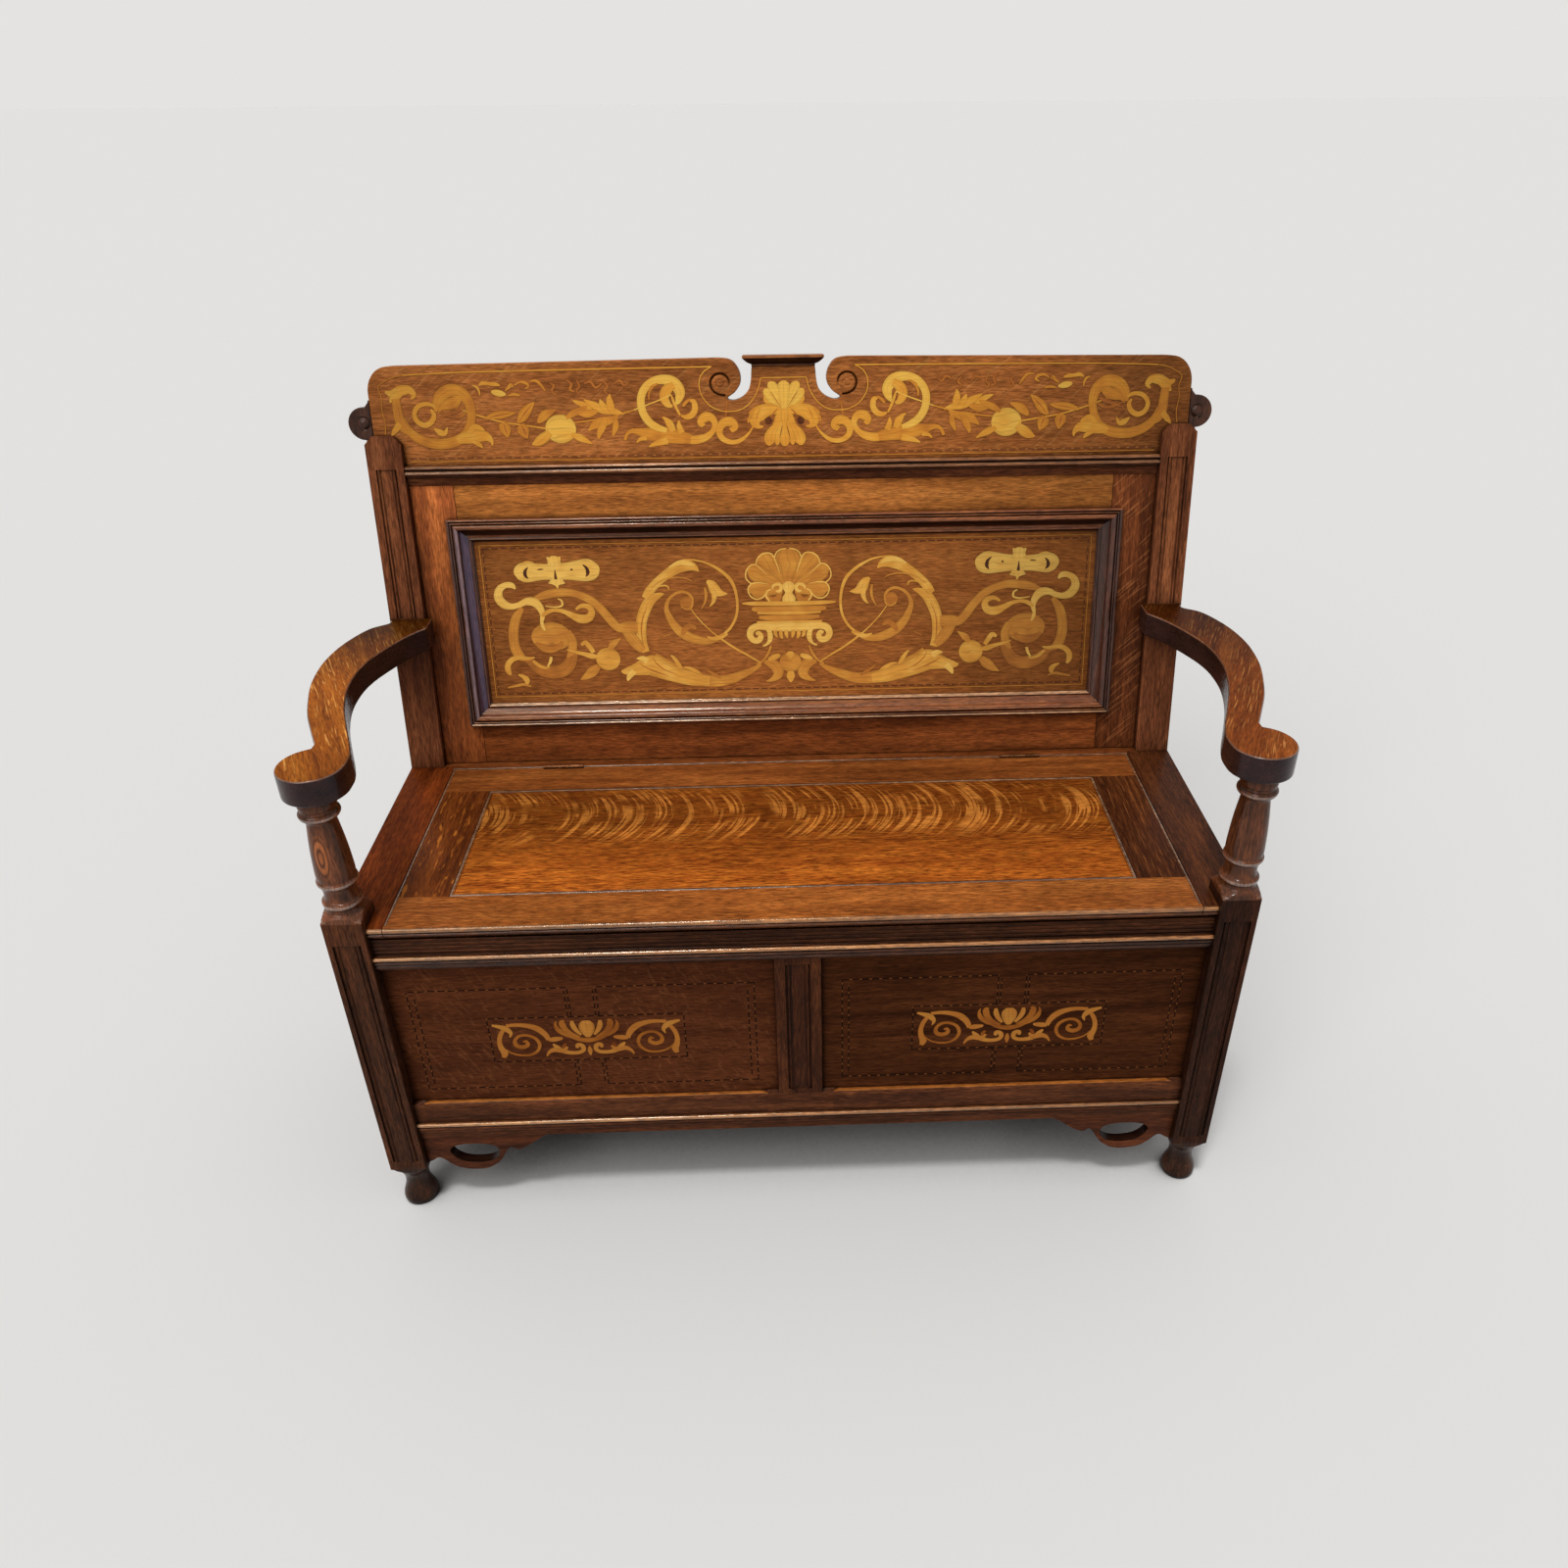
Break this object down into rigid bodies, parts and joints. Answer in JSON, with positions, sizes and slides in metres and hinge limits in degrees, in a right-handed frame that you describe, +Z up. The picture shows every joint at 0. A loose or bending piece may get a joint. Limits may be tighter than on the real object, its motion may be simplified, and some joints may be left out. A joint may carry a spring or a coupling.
{
  "type": "storage settle bench",
  "caption": "Oak box settle: a hinged lift-up seat over a panelled storage box, a raked framed back with a shaped crest, and flat sweeping arms on turned front posts.",
  "frame": {"origin": "middle of the bounding box at floor level, under the feet", "axes": "+X to the right of someone facing the front, +Y towards the back, +Z up; the front faces -Y"},
  "size_m": [1.1542, 0.5172, 0.9854],
  "materials": {
    "oak_frame": "dark oak, waxed to a satin gloss",
    "oak_seat": "golden brown quarter-sawn oak, polished by wear",
    "oak_panel": "inlaid dark oak, waxed",
    "oak_inside": "plain unfinished oak",
    "hinge_brass": "dull old brass"
  },
  "bodies": {
    "box": {"front_post_right": "oak_frame", "front_post_left": "oak_frame", "front_top_rail": "oak_frame", "front_rail_moulding": "oak_frame", "front_bottom_rail": "oak_frame", "sill_moulding": "oak_frame", "front_muntin": "oak_frame", "front_panel_right": "oak_panel", "front_panel_left": "oak_panel", "bracket_right": "oak_frame", "bracket_left": "oak_frame", "side_top_rail_right": "oak_frame", "side_top_rail_left": "oak_frame", "side_bottom_rail_right": "oak_frame", "side_bottom_rail_left": "oak_frame", "side_panel_right": "oak_panel", "side_panel_left": "oak_panel", "back_stile_right": "oak_frame", "back_stile_left": "oak_frame", "box_back_top_rail": "oak_frame", "box_back_bottom_rail": "oak_frame", "box_back_panel": "oak_panel", "bearer_right": "oak_inside", "bearer_left": "oak_inside", "bottom_board_1": "oak_inside", "bottom_board_2": "oak_inside", "bottom_board_3": "oak_inside", "seat_end_right": "oak_seat", "seat_end_left": "oak_seat", "seat_rear_strip": "oak_seat", "hinge_fixed_leaf_right": "hinge_brass", "hinge_fixed_leaf_left": "hinge_brass", "hinge_pin_right": "hinge_brass", "hinge_pin_left": "hinge_brass", "back_frame_stile_right": "oak_frame", "back_frame_stile_left": "oak_frame", "back_frame_bottom_rail": "oak_frame", "back_frame_top_rail": "oak_frame", "back_panel": "oak_panel", "bolection_bottom": "oak_frame", "bolection_top": "oak_frame", "bolection_side_right": "oak_frame", "bolection_side_left": "oak_frame", "crest_board": "oak_panel", "crest_moulding": "oak_frame", "urn_cap": "oak_frame", "crest_ear_right": "oak_frame", "crest_ear_left": "oak_frame", "arm_right": "oak_seat", "arm_left": "oak_seat"},
    "lid": {"lid_front_rail": "oak_seat", "lid_rear_rail": "oak_seat", "lid_stile_right": "oak_seat", "lid_stile_left": "oak_seat", "lid_panel": "oak_seat", "hinge_lid_leaf_right": "hinge_brass", "hinge_lid_leaf_left": "hinge_brass"}
  },
  "joints": [
    {"name": "lid_hinge", "type": "hinge", "parent": "box", "child": "lid", "pos_m": [0, 0.11161, 0.461], "axis": [-1, 0, 0], "range_deg": [0, 101.5]}
  ]
}
